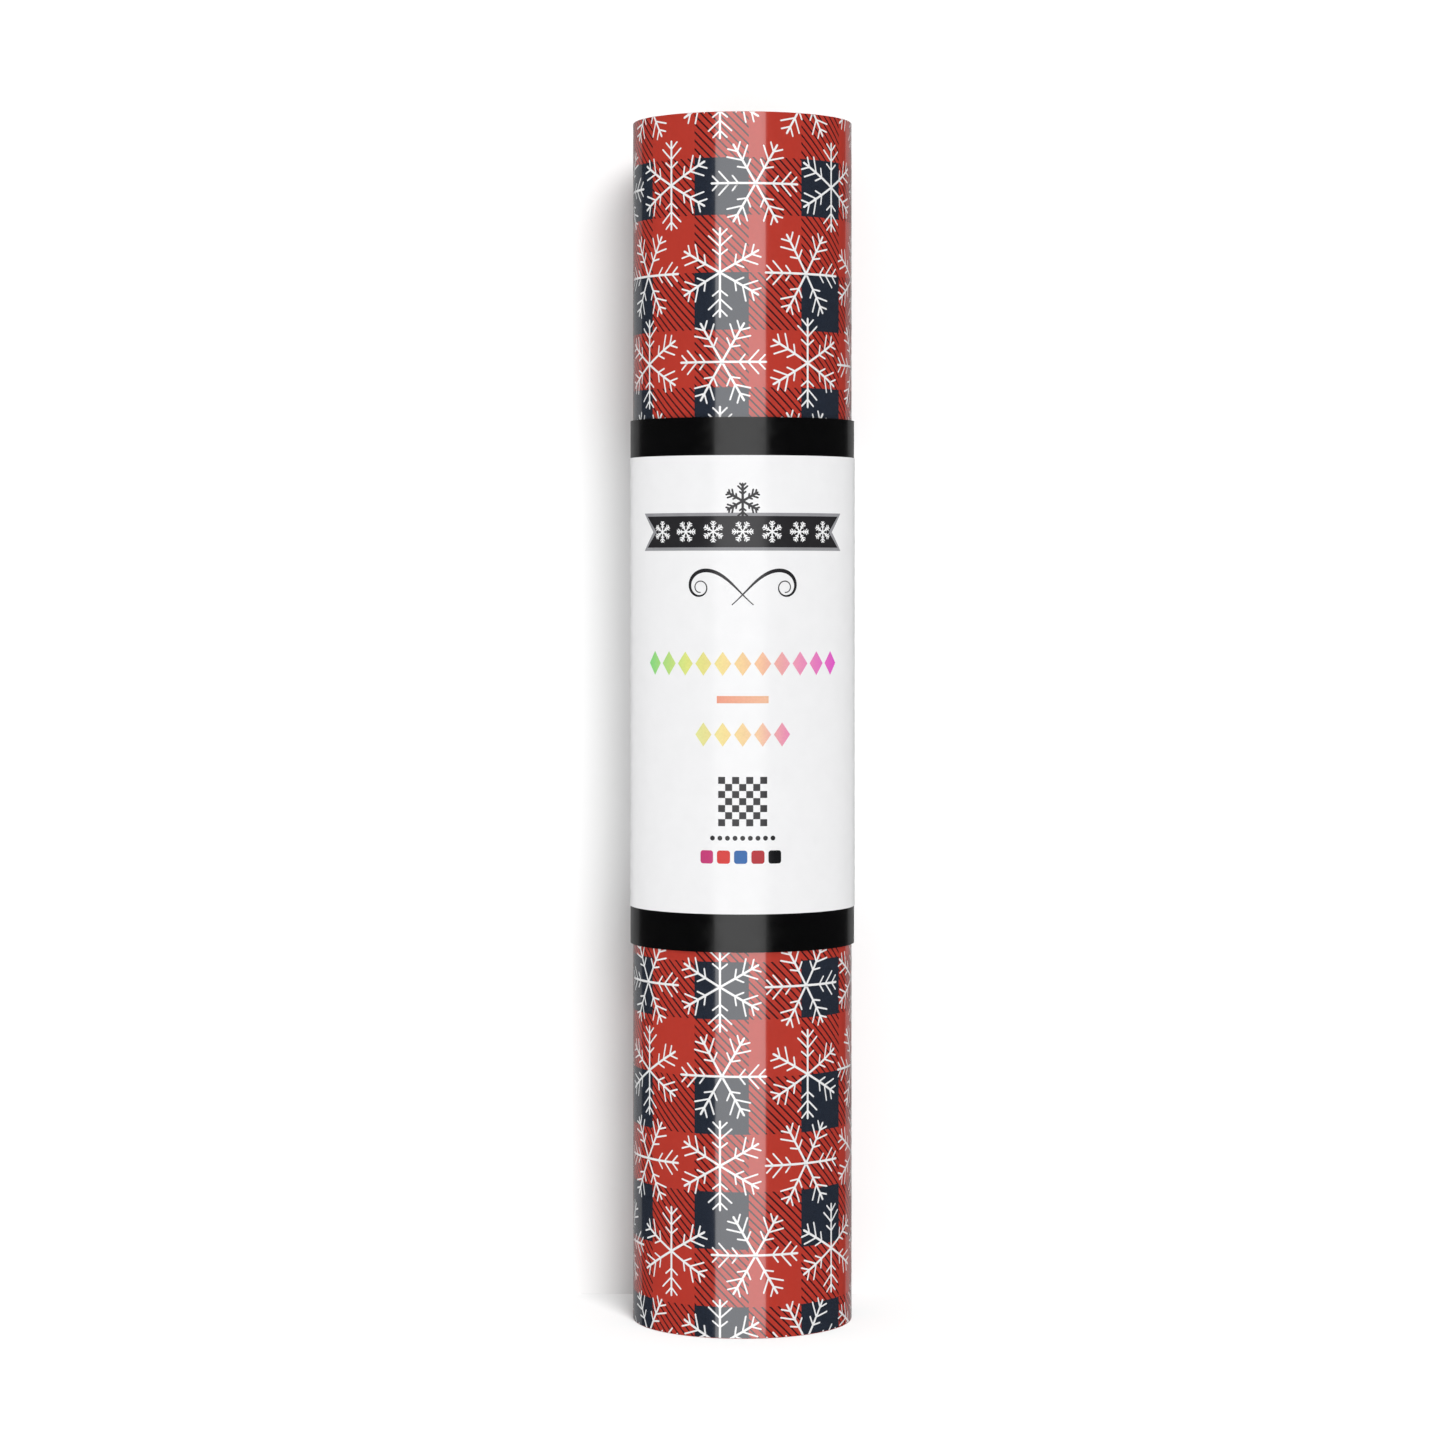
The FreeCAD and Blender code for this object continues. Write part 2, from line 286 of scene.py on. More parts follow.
def wound_sheet(winding, first, last, thickness, low, high, step, edge_play=0.0, seed=0):
    """A wound strip as one closed sheet: outer and inner faces, two long edges and two cut ends.

    edge_play lets the long edges wander inwards, as they do where turns don't quite line up.
    Faces of material 0 face outwards, of material 1 inwards, and of material 2 are cut edges.
    """
    sheet = Sheet()
    count = max(2, round((last - first) / step))
    angles = [first + (last - first) * i / count for i in range(count + 1)]
    wander = random.Random(seed)
    turns = math.ceil(last / 360) + 1
    low_play = [wander.uniform(0, edge_play) for _ in range(turns)]
    high_play = [wander.uniform(0, edge_play) for _ in range(turns)]

    def drift(plays, at):
        whole, part = divmod(at / 360, 1)
        whole = int(whole)
        ease = part * part * (3 - 2 * part)
        return plays[whole] * (1 - ease) + plays[min(whole + 1, turns - 1)] * ease

    for at in angles:
        floor_at = low + drift(low_play, at)
        top_at = high - drift(high_play, at)
        for lift in (0.0, thickness):
            x, y = winding.point(at - 1e-6 if at == last else at, lift)
            sheet.add_points([(x, y, floor_at), (x, y, top_at)])
    for i in range(count):
        a, b = 4 * i, 4 * (i + 1)
        out_a, out_b = winding.outward(angles[i]), winding.outward(angles[i + 1])
        u, v = i / count, (i + 1) / count
        wall = [on_map(u, 0), on_map(v, 0), on_map(v, 1), on_map(u, 1)]
        sheet.add_face([a + 2, b + 2, b + 3, a + 3], [out_a, out_b, out_b, out_a], wall, 0)
        inner = [on_map(v, 0), on_map(u, 0), on_map(u, 1), on_map(v, 1)]
        sheet.add_face([b, a, a + 1, b + 1], [-out_b, -out_a, -out_a, -out_b], inner, 1)
        rim = [on_map(u, 1), on_map(v, 1), on_map(v, 1), on_map(u, 1)]
        sheet.add_face([a + 1, a + 3, b + 3, b + 1], [UP] * 4, rim, 2)
        sheet.add_face([b, b + 2, a + 2, a], [-UP] * 4, rim, 2)
    for i, away in ((0, -1), (count, 1)):
        a = 4 * i
        along = UP.cross(winding.outward(angles[i])) * away
        corners = [a, a + 2, a + 3, a + 1]
        if away > 0:
            corners.reverse()
        sheet.add_face(corners, [along] * 4, [on_map(i / count, 0.5)] * 4, 2)
    return sheet


def cut_fine(outline_sets, step):
    """Flat outlines as one flat mesh, cut so that no face is wider than a step round the roll."""
    flat = bmesh.new()
    for outline in outline_sets:
        corners = [flat.verts.new((x, y, 0)) for x, y in outline]
        for triangle in tessellate_polygon([[Vector((x, y, 0)) for x, y in outline]]):
            try:
                flat.faces.new([corners[i] for i in triangle])
            except ValueError:
                continue
    low = min(v.co.x for v in flat.verts)
    high = max(v.co.x for v in flat.verts)
    for i in range(1, math.ceil((high - low) / step)):
        geometry = flat.verts[:] + flat.edges[:] + flat.faces[:]
        bmesh.ops.bisect_plane(
            flat, geom=geometry, plane_co=(low + i * step, 0, 0), plane_no=(1, 0, 0), dist=1e-5
        )
    bmesh.ops.dissolve_degenerate(flat, dist=1e-4, edges=flat.edges[:])
    flat.verts.index_update()
    flat.normal_update()
    points = [(v.co.x, v.co.y) for v in flat.verts]
    faces = []
    for face in flat.faces:
        corners = [v.index for v in face.verts]
        if face.normal.z < 0:
            corners.reverse()
        faces.append(corners)
    flat.free()
    return points, faces


def rim_of(faces):
    """The edges that belong to one face only, in that face's direction."""
    used = {}
    for corners in faces:
        for a, b in zip(corners, corners[1:] + corners[:1]):
            used[a, b] = True
    return [(a, b) for a, b in used if (b, a) not in used]


class Wrapper:
    """Lays flat artwork round a winding: x runs round the roll from its front, y along the roll."""

    def __init__(self, winding, turn, surface, low, high):
        self.winding = winding
        self.front = winding.front(turn)
        self.surface = surface
        self.girth_radius = winding.radius(self.front) + surface
        self.low = low
        self.high = high

    def angle_at(self, x):
        return self.front + span(x, self.girth_radius)

    def place(self, x, y):
        girth = 2 * math.pi * self.girth_radius
        return on_map(x / girth + 0.5, (y - self.low) / (self.high - self.low))

    def lay(self, sheet, points, faces, lift, depth, material=0):
        """Adds a closed layer of ink: its face this far above the surface, its back a depth below."""
        first = len(sheet.points)
        ats = [self.angle_at(x) for x, _ in points]
        for height in (self.surface + lift, self.surface + lift - depth):
            sheet.add_points(
                [(*self.winding.point(at, height), y) for at, (_, y) in zip(ats, points)]
            )
        out = [self.winding.outward(at) for at in ats]
        spots = [self.place(x, y) for x, y in points]
        under = len(points)
        for corners in faces:
            sheet.add_face(
                [first + i for i in corners],
                [out[i] for i in corners],
                [spots[i] for i in corners],
                material,
            )
            back = corners[::-1]
            sheet.add_face(
                [first + under + i for i in back],
                [-out[i] for i in back],
                [spots[i] for i in back],
                material,
            )
        for a, b in rim_of(faces):
            along = Vector((points[b][0] - points[a][0], points[b][1] - points[a][1]))
            side = UP.cross(out[a]) * along.y - UP * along.x
            side = side.normalized() if side.length > 0 else out[a]
            sheet.add_face(
                [first + b, first + a, first + under + a, first + under + b],
                [side] * 4,
                [spots[b], spots[a], spots[a], spots[b]],
                material,
            )


# ---------------------------------------------------------------- flat outlines, in millimetres


def moved(outline, x, y):
    return [(px + x, py + y) for px, py in outline]


def turned(outline, by_degrees):
    turn = math.radians(by_degrees)
    c, s = math.cos(turn), math.sin(turn)
    return [(x * c - y * s, x * s + y * c) for x, y in outline]


def box_outline(left, low, right, high):
    return [(left, low), (right, low), (right, high), (left, high)]


def disc(radius, corners=24):
    return [
        (radius * math.cos(2 * math.pi * i / corners), radius * math.sin(2 * math.pi * i / corners))
        for i in range(corners)
    ]


def rounded_box(side, corner, steps=5):
    """A square with rounded corners, about its own middle."""
    inner = side / 2 - corner
    outline = []
    for quarter, (x, y) in enumerate(((inner, inner), (-inner, inner), (-inner, -inner), (inner, -inner))):
        for i in range(steps + 1):
            turn = math.pi / 2 * (quarter + i / steps)
            outline.append((x + corner * math.cos(turn), y + corner * math.sin(turn)))
    return outline


def clipped(outline, left, low, right, high):
    """What is left of a convex outline inside a box."""
    for axis, limit, keep in ((0, left, 1), (0, right, -1), (1, low, 1), (1, high, -1)):
        kept = []
        for a, b in zip(outline, outline[1:] + outline[:1]):
            inside_a = (a[axis] - limit) * keep
            inside_b = (b[axis] - limit) * keep
            if inside_a >= 0:
                kept.append(a)
            if inside_a * inside_b < 0:
                part = inside_a / (inside_a - inside_b)
                kept.append((a[0] + (b[0] - a[0]) * part, a[1] + (b[1] - a[1]) * part))
        outline = kept
        if len(outline) < 3:
            return []
    return outline


# a barb's place along its arm, its length and its lean, for an arm of length 1
BARBS = ((0.38, 0.21, 52), (0.575, 0.35, 48), (0.80, 0.22, 46))
BARB_STROKE = 0.74  # a barb's width over its arm's
ARMS = 6


def snowflake(radius, stroke, first_arm=90):
    """A six-armed snowflake as one outline. Each arm has three pairs of barbs, the middle longest."""
    half = stroke / 2
    thin = half * BARB_STROKE
    side = []
    for place, reach, lean_degrees in BARBS:
        lean = math.radians(lean_degrees)
        root = place * radius
        tip = (root + reach * radius * math.cos(lean), reach * radius * math.sin(lean))
        across = (-math.sin(lean) * thin, math.cos(lean) * thin)
        ahead = (math.cos(lean) * thin, math.sin(lean) * thin)
        on_arm = root + half / math.tan(lean)
        side.append((on_arm - thin / math.sin(lean), half))
        side.append((tip[0] + across[0], tip[1] + across[1]))
        side.append((tip[0] + ahead[0], tip[1] + ahead[1]))
        side.append((tip[0] - across[0], tip[1] - across[1]))
        side.append((on_arm + thin / math.sin(lean), half))
    side.append((radius - half, half))
    # the outline runs against the clock: lower side outwards, then the upper side back
    arm = [(x, -y) for x, y in side] + [(radius, 0)] + side[::-1]
    crotch = (2 * half * math.cos(math.pi / ARMS), 2 * half * math.sin(math.pi / ARMS))
    outline = []
    for i in range(ARMS):
        turn = first_arm + i * 360 / ARMS
        outline += turned(arm + [crotch], turn)
    return outline


# ---------------------------------------------------------------- materials


NOISE_LOW, NOISE_HIGH = 0.3, 0.7  # most of a noise lies between these
TURNS_TO_A_SHADE_RING = 3  # turns of film from one painted ring of gap shade to the next

def add(tree, kind, inputs=None, **settings):
    """Adds one node. An input given as a socket is linked, any other is set."""
    made = tree.nodes.new(kind)
    for name, value in settings.items():
        setattr(made, name, value)
    for key, value in (inputs or {}).items():
        socket = made.inputs[key]
        if isinstance(value, bpy.types.NodeSocket):
            tree.links.new(value, socket)
        else:
            socket.default_value = value
    return made


def start_material(name):
    material = bpy.data.materials.new(name)
    material.use_nodes = True
    material.node_tree.nodes.clear()
    return material, material.node_tree


def finish_material(tree, inputs):
    """Ends a material with one surface that has these inputs."""
    surface = add(tree, "ShaderNodeBsdfPrincipled", inputs)
    add(tree, "ShaderNodeOutputMaterial", {"Surface": surface.outputs[0]})


def in_millimetres(tree, stretch=(1, 1, 1)):
    """The point on the piece in millimetres, so that a texture's scale is one over its size."""
    place = add(tree, "ShaderNodeTexCoord").outputs["Object"]
    scale = [s / MM for s in stretch]
    return add(tree, "ShaderNodeMapping", {"Vector": place, "Scale": scale}).outputs["Vector"]


def spread(tree, place, size, low, high, detail=2.0, roughness=0.5):
    """Noise with features of about this size in millimetres, drawn out to run from low to high."""
    settings = {"Vector": place, "Scale": 1 / size, "Detail": detail, "Roughness": roughness}
    grain = add(tree, "ShaderNodeTexNoise", settings).outputs["Fac"]
    limits = {"Value": grain, "From Min": NOISE_LOW, "From Max": NOISE_HIGH, "To Min": low, "To Max": high}
    return add(tree, "ShaderNodeMapRange", limits).outputs["Result"]


def two_toned(tree, place, size, first, second, detail=2.0, roughness=0.5):
    """A colour that wanders from one to another, in clouds of about this size in millimetres."""
    clouds = spread(tree, place, size, 0, 1, detail, roughness)
    return add(tree, "ShaderNodeMix", {0: clouds, 6: first, 7: second}, data_type="RGBA").outputs[2]


def plain(hex_colour):
    return (*linear(hex_colour), 1.0)


def shade(rgba, by):
    return tuple(min(1.0, c * by) for c in rgba[:3]) + (1.0,)


def glossy_film(name, colour_now, variation):
    """Ink under a clear polyester face: ink density drifts a little over a few centimetres, the
    face is mirror-smooth apart from faint handling marks, and both reflect, so lights read as
    crisp pale bars over the colour."""
    material, tree = start_material(name)
    place = in_millimetres(tree)
    tones = shade(colour_now, 1 - variation), shade(colour_now, 1 + variation)
    drift = two_toned(tree, place, 34, *tones, 3)
    speck = two_toned(tree, place, 0.9, *tones)
    ink = add(tree, "ShaderNodeMix", {0: 0.35, 6: drift, 7: speck}, data_type="RGBA")
    marks = spread(tree, in_millimetres(tree, (1, 1, 0.12)), 1.6, 0.10, 0.17, 4, 0.65)
    ripple = add(tree, "ShaderNodeTexNoise", {"Vector": place, "Scale": 1 / 26, "Detail": 1})
    wave = {"Height": ripple.outputs["Fac"], "Strength": 0.05, "Distance": 0.2 * MM}
    inputs = {
        "Base Color": ink.outputs[2],
        "Roughness": marks,
        "IOR": 1.6,
        "Coat Weight": 1.0,
        "Coat Roughness": 0.03,
        "Coat IOR": 1.6,
        "Normal": add(tree, "ShaderNodeBump", wave).outputs["Normal"],
    }
    finish_material(tree, inputs)
    return material


def film_back():
    """The film's uncoated back: pale grey release side, satin, with slow blotches."""
    material, tree = start_material("satin film back")
    place = in_millimetres(tree)
    grey = two_toned(tree, place, 12, plain("D9D6D2"), plain("E6E4E1"), 3)
    rough = spread(tree, place, 2.5, 0.38, 0.5, 3)
    finish_material(tree, {"Base Color": grey, "Roughness": rough, "IOR": 1.5})
    return material


def film_edge():
    """The slit edge of the film: the ink shows as a red line in a pale clear body, with slitting
    marks a few tenths of a millimetre long. Single turns are too fine to show on the roll's ends,
    so the shade in the gaps between them is painted as dark rings three turns apart."""
    material, tree = start_material("slit film edge")
    place = in_millimetres(tree)
    body = two_toned(tree, place, 0.7, plain("D98A80"), plain("B4483C"), 3)
    level = in_millimetres(tree, (1, 1, 0))
    away = add(tree, "ShaderNodeVectorMath", {0: level}, operation="LENGTH").outputs["Value"]
    waver = spread(tree, place, 9, -0.1, 0.1)
    wound = add(tree, "ShaderNodeMath", {0: away, 1: waver}, operation="ADD").outputs[0]
    apart = mm("film_pitch") * TURNS_TO_A_SHADE_RING
    rings = add(tree, "ShaderNodeMath", {0: wound, 1: apart}, operation="DIVIDE").outputs[0]
    part = add(tree, "ShaderNodeMath", {0: rings}, operation="FRACT").outputs[0]
    limits = {"Value": part, "From Min": 0.5, "From Max": 0.9, "To Min": 0.0, "To Max": 0.8}
    # painted shade: dark rings, three turns apart, stand for the shade in the gaps between turns
    gap_shade = add(tree, "ShaderNodeMapRange", limits).outputs["Result"]
    colours = {0: gap_shade, 6: body, 7: plain("5A1F1A")}
    shade_ringed = add(tree, "ShaderNodeMix", colours, data_type="RGBA").outputs[2]
    rough = spread(tree, place, 0.4, 0.3, 0.5)
    finish_material(tree, {"Base Color": shade_ringed, "Roughness": rough, "IOR": 1.57})
    return material


def coated_paper(name, colour_now, fleck, coat_weight=0.0):
    """Machine-coated art paper, varnished: fibre clouds of a few millimetres under a smooth shiny
    varnish that has a very faint orange-peel."""
    material, tree = start_material(name)
    place = in_millimetres(tree)
    tones = shade(colour_now, 1 - fleck), shade(colour_now, 1 + fleck)
    peel = add(tree, "ShaderNodeTexNoise", {"Vector": place, "Scale": 1 / 1.1, "Detail": 2})
    wave = {"Height": peel.outputs["Fac"], "Strength": 0.03, "Distance": 0.05 * MM}
    inputs = {
        "Base Color": two_toned(tree, place, 5, *tones, 4, 0.6),
        "Roughness": spread(tree, place, 3, 0.16, 0.26, 3),
        "IOR": 1.45,
        "Coat Weight": coat_weight,
        "Coat Roughness": 0.04,
        "Coat IOR": 1.45,
        "Normal": add(tree, "ShaderNodeBump", wave).outputs["Normal"],
    }
    finish_material(tree, inputs)
    return material


def raw_paper(name, light_hex, dark_hex, fibre=0.5):
    """Uncoated paper and cut paper edges: matt, with fibres about half a millimetre long."""
    material, tree = start_material(name)
    place = in_millimetres(tree, (1, 1, 0.4))
    fibres = spread(tree, place, fibre, 0, 1, 4, 0.7)
    tones = {0: fibres, 6: plain(dark_hex), 7: plain(light_hex)}
    body = add(tree, "ShaderNodeMix", tones, data_type="RGBA").outputs[2]
    rough = spread(tree, place, fibre * 2, 0.75, 0.92)
    nap = add(tree, "ShaderNodeBump", {"Height": fibres, "Strength": 0.25, "Distance": 0.04 * MM})
    normal = nap.outputs["Normal"]
    finish_material(tree, {"Base Color": body, "Roughness": rough, "IOR": 1.45, "Normal": normal})
    return material


def kraft_board():
    """Spiral-wound kraft board: long fibres that follow the winding, darker flecks of recycled
    pulp and a dry matt skin."""
    material, tree = start_material("spiral-wound kraft board")
    kraft = tint("kraft")
    place = in_millimetres(tree, (1, 1, 0.35))
    fibres = spread(tree, place, 0.8, 0, 1, 5, 0.7)
    tones = {0: fibres, 6: shade(kraft, 0.8), 7: shade(kraft, 1.16)}
    body = add(tree, "ShaderNodeMix", tones, data_type="RGBA").outputs[2]
    pulp = {"Vector": in_millimetres(tree), "Scale": 1 / 1.3, "Detail": 3}
    pulp = add(tree, "ShaderNodeTexNoise", pulp).outputs["Fac"]
    limits = {"Value": pulp, "From Min": 0.64, "From Max": 0.7}
    flecks = add(tree, "ShaderNodeMapRange", limits).outputs["Result"]
    tones = {0: flecks, 6: body, 7: shade(kraft, 0.5)}
    spotted = add(tree, "ShaderNodeMix", tones, data_type="RGBA").outputs[2]
    rough = spread(tree, place, 2, 0.78, 0.95, 3)
    nap = add(tree, "ShaderNodeBump", {"Height": fibres, "Strength": 0.35, "Distance": 0.06 * MM})
    normal = nap.outputs["Normal"]
    finish_material(tree, {"Base Color": spotted, "Roughness": rough, "IOR": 1.45, "Normal": normal})
    return material


def clear_tape():
    """Cast polypropylene tape: nearly clear, with a satin face and faint streaks of adhesive that
    veil what is under it."""
    material, tree = start_material("satin clear tape")
    place = in_millimetres(tree, (1, 1, 3))
    veil = two_toned(tree, place, 2.2, plain("F1F0EC"), plain("FAFAF8"), 3)
    rough = spread(tree, place, 1.2, 0.14, 0.24, 3)
    finish_material(tree, {"Base Color": veil, "Roughness": rough, "IOR": 1.49, "Alpha": 0.2})
    return material


def dry_adhesive():
    """Acrylic adhesive, dried: cloudy, yellowish and slightly tacky-looking."""
    material, tree = start_material("dried acrylic adhesive")
    place = in_millimetres(tree)
    body = two_toned(tree, place, 1.5, plain("CFC6A8"), plain("E5DFC9"), 3)
    rough = spread(tree, place, 0.8, 0.25, 0.45)
    finish_material(tree, {"Base Color": body, "Roughness": rough, "IOR": 1.48})
    return material


def fading_ink(name, stops, half_width):
    """Offset ink that fades through a row of colours from left to right, under the label's
    varnish."""
    material, tree = start_material(name)
    place = add(tree, "ShaderNodeTexCoord").outputs["Object"]
    parts = add(tree, "ShaderNodeSeparateXYZ", {"Vector": place})
    limits = {"Value": parts.outputs["X"], "From Min": -half_width * MM, "From Max": half_width * MM}
    across = add(tree, "ShaderNodeMapRange", limits).outputs["Result"]
    ramp = add(tree, "ShaderNodeValToRGB", {"Fac": across})
    elements = ramp.color_ramp.elements
    while len(elements) < len(stops):
        elements.new(0.5)
    for i, hex_colour in enumerate(stops):
        elements[i].position = i / (len(stops) - 1)
        elements[i].color = plain(hex_colour)
    dots = spread(tree, in_millimetres(tree), 0.5, 0.94, 1.0)
    inked = add(tree, "ShaderNodeHueSaturation", {"Color": ramp.outputs["Color"], "Value": dots})
    finish_material(tree, {"Base Color": inked.outputs["Color"], "Roughness": 0.2, "IOR": 1.45})
    return material


# ---------------------------------------------------------------- pieces


INK_STEP = 1.0  # widest face of a layer of ink round the roll, so that it follows the curve
FLAKE_STEP = 1.5  # the same for the snowflakes, which lie further out
INK_DEPTH = 0.008
CHECK_LIFT = 0.012
FLAKE_LIFT = 0.026
LABEL_INK_LIFT = 0.012


def settle(piece, body, slot, *nodes):
    """The piece rides on a body and stands for CAD nodes; the slot is not used."""
    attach(piece, body)
    if nodes:
        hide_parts(*nodes)
    return piece


class ROLL_OT_core(bpy.types.Operator):
    """Build the paperboard core"""

    bl_idname = "roll.core"
    bl_label = "Core"

    PLIES = 4
    SEAM_REACH = 0.7  # from the middle of the seam's groove to its edge
    SEAM_DEPTH = 0.12
    SEAM_RISE = 118  # one turn of the innermost ply along the tube
    PLY_STEP = 0.05  # how far every other ply is sunk at the cut ends
    RINGS = 240
    SIDES = 120

    def execute(self, context):
        bore, outside = radii("core_tube")
        low, high = heights("core_tube")
        sheet = Sheet()
        rows = self.RINGS + 1
        for ring in range(rows):
            z = low + (high - low) * ring / self.RINGS
            for side, (x, y) in enumerate(disc(1, self.SIDES)):
                reach = bore + self.seam_depth(2 * math.pi * side / self.SIDES, z)
                sheet.add_points([(x * reach, y * reach, z)])
        self.add_bore(sheet, rows)
        self.add_ends(sheet, bore, outside, low, high)
        piece = sheet.make("core_board", [kraft_board()])
        settle(piece, "roll", "paperboard", "core_tube")
        return {"FINISHED"}

    def seam_depth(self, turn, z):
        """The butt joint of the innermost ply is a shallow groove that winds along the bore."""
        phase = (z / self.SEAM_RISE - turn / (2 * math.pi)) % 1
        away = min(phase, 1 - phase) * self.SEAM_RISE
        return self.SEAM_DEPTH * max(0.0, 1 - away / self.SEAM_REACH)

    def add_bore(self, sheet, rows):
        n = self.SIDES
        for ring in range(rows - 1):
            for side in range(n):
                nxt = (side + 1) % n
                corners = [ring * n + nxt, ring * n + side, (ring + 1) * n + side, (ring + 1) * n + nxt]
                inward = []
                for corner in corners:
                    x, y, _ = sheet.points[corner]
                    inward.append(-Vector((x, y, 0)).normalized())
                u, v = side / n, (side + 1) / n
                a, b = ring / rows, (ring + 1) / rows
                spots = [on_map(v, a), on_map(u, a), on_map(u, b), on_map(v, b)]
                sheet.add_face(corners, inward, spots)

    def add_ends(self, sheet, bore, outside, low, high):
        """Each end is a cut face with a fine step between plies, and the outside is one wall."""
        n = self.SIDES
        outwards = [Vector((x, y, 0)) for x, y in disc(1, n)]
        rims = []
        for z, away in ((low, -1), (high, 1)):
            previous = 0 if away < 0 else self.RINGS * n
            for ply in range(1, self.PLIES + 1):
                radius = bore + (outside - bore) * ply / self.PLIES
                sunk = z - away * self.PLY_STEP * (ply % 2) if ply < self.PLIES else z
                ring = sheet.add_points([(x, y, sunk) for x, y in disc(radius, n)])
                for s in range(n):
                    nxt = (s + 1) % n
                    corners = [previous + s, ring + s, ring + nxt, previous + nxt]
                    if away < 0:
                        corners.reverse()
                    spots = [on_map(s / n, 0.5)] * 4
                    sheet.add_face(corners, [UP * away] * 4, spots)
                previous = ring
            rims.append(previous)
        below, above = rims
        for s in range(n):
            nxt = (s + 1) % n
            corners = [below + s, below + nxt, above + nxt, above + s]
            spots = [on_map(s / n, 0), on_map((s + 1) / n, 0), on_map((s + 1) / n, 1), on_map(s / n, 1)]
            here, there = outwards[s], outwards[nxt]
            sheet.add_face(corners, [here, there, there, here], spots)


class ROLL_OT_film(bpy.types.Operator):
    """Build the wound film"""

    bl_idname = "roll.film"
    bl_label = "Film"

    STEP = 2.0
    EDGE_PLAY = 0.12

    def execute(self, context):
        low, high = heights("printed_film")
        sheet = wound_sheet(
            film_winding(),
            0,
            360 * context.scene.roll_sizes.film_turns,
            mm("film_thickness"),
            low,
            high,
            self.STEP,
            self.EDGE_PLAY,
            seed=4,
        )
        ground = glossy_film("red ink under polyester", tint("red"), 0.05)
        piece = sheet.make("film_web", [ground, film_back(), film_edge()])
        settle(piece, "roll", "printed_film", "printed_film")
        return {"FINISHED"}


class ROLL_OT_print(bpy.types.Operator):
    """Print the check and the snowflakes on the outermost turn of film"""

    bl_idname = "roll.print"
    bl_label = "Print"

    # one snowflake's distance from the front line, row by row, and whether it is a turned one
    ROW_STARTS = ((3.2, 1), (-5.7, 0), (-5.2, 1), (-5.7, 0))
    END_GAP = 0.15  # bare film left at the cut edges

    def execute(self, context):
        self.low, self.high = heights("printed_film")
        self.low += self.END_GAP
        self.high -= self.END_GAP
        winding = film_winding()
        turn = context.scene.roll_sizes.film_turns - 1
        self.wrapper = Wrapper(winding, turn, mm("film_thickness"), self.low, self.high)
        ahead = 360 * (turn + 1) - self.wrapper.front
        radius = self.wrapper.girth_radius
        self.right = math.radians(ahead) * radius - self.END_GAP
        self.left = self.right - 2 * math.pi * radius + 2 * self.END_GAP
        self.print_navy()
        self.print_hatch()
        self.print_flakes()
        return {"FINISHED"}

    def columns(self):
        """The check's columns: the left edge of each, and whether it holds navy squares."""
        width = mm("check_width")
        first = math.floor((self.left - mm("check_start")) / width)
        last = math.ceil((self.right - mm("check_start")) / width)
        return [(mm("check_start") + i * width, i % 2 == 1) for i in range(first, last + 1)]

    def rows(self):
        """The check's rows from the top: the upper edge of each, and whether it holds navy."""
        height = mm("check_height")
        top = heights("printed_film")[1] - mm("check_top")
        count = math.ceil((self.high - self.low) / height) + 2
        return [(top - i * height, i % 2 == 0) for i in range(-1, count)]

    def cells(self, mixed):
        for left, navy_column in self.columns():
            for top, navy_row in self.rows():
                is_mixed = navy_column != navy_row
                if is_mixed == mixed and (mixed or navy_column):
                    yield left, top - mm("check_height"), left + mm("check_width"), top

    def lay_outlines(self, name, outlines, lift, material):
        """One piece of ink from many outlines, each cut off at the film's own edges."""
        sheet = Sheet()
        edges = (self.left, self.low, self.right, self.high)
        for outline in outlines:
            part = clipped(outline, *edges)
            if part:
                self.wrapper.lay(sheet, *cut_fine([part], INK_STEP), lift, INK_DEPTH)
        piece = sheet.make(name, [material])
        return settle(piece, "roll", "printed_film")

    def print_navy(self):
        ink = glossy_film("navy ink under polyester", tint("navy"), 0.06)
        outlines = [box_outline(*cell) for cell in self.cells(mixed=False)]
        self.lay_outlines("print_navy_squares", outlines, CHECK_LIFT, ink)

    def print_hatch(self):
        """Lines that fall from left to right, in every square where a red and a navy band cross."""
        ink = glossy_film("hatch ink under polyester", tint("hatch"), 0.06)
        pitch = mm("hatch_pitch")
        half = mm("hatch_width") / 2 * math.sqrt(2)
        outlines = []
        for left, low, right, high in self.cells(mixed=True):
            first = math.ceil((left + low) / pitch)
            last = math.floor((right + high) / pitch)
            for i in range(first, last + 1):
                total = i * pitch
                line = [
                    (total - low + half, low),
                    (total - high + half, high),
                    (total - high - half, high),
                    (total - low - half, low),
                ]
                part = clipped(line[::-1], left, low, right, high)
                if part:
                    outlines.append(part)
        self.lay_outlines("print_hatch_lines", outlines, CHECK_LIFT, ink)

    def print_flakes(self):
        """Rows of snowflakes, every second one turned by half an arm's angle."""
        ink = glossy_film("white ink under polyester", tint("white"), 0.02)
        radius = mm("flake_radius")
        shapes = [
            cut_fine([snowflake(radius, mm("flake_stroke"), first_arm)], FLAKE_STEP)
            for first_arm in (90, 0)
        ]
        top = heights("printed_film")[1] - mm("flake_top")
        spacing = mm("flake_across")
        sheets = [Sheet(), Sheet()]
        row_count = math.ceil((top - self.low + radius) / mm("flake_along")) + 1
        for row in range(-1, row_count):
            start, parity = self.ROW_STARTS[row % len(self.ROW_STARTS)]
            y = top - row * mm("flake_along")
            first = math.floor((self.left - radius - start) / spacing)
            last = math.ceil((self.right + radius - start) / spacing)
            for column in range(first, last + 1):
                x = start + column * spacing
                kind = (column + parity) % 2
                self.lay_flake(sheets[kind], shapes[kind], x, y, radius)
        for name, sheet in zip(("print_snowflakes_upright", "print_snowflakes_turned"), sheets):
            settle(sheet.make(name, [ink]), "roll", "printed_film")

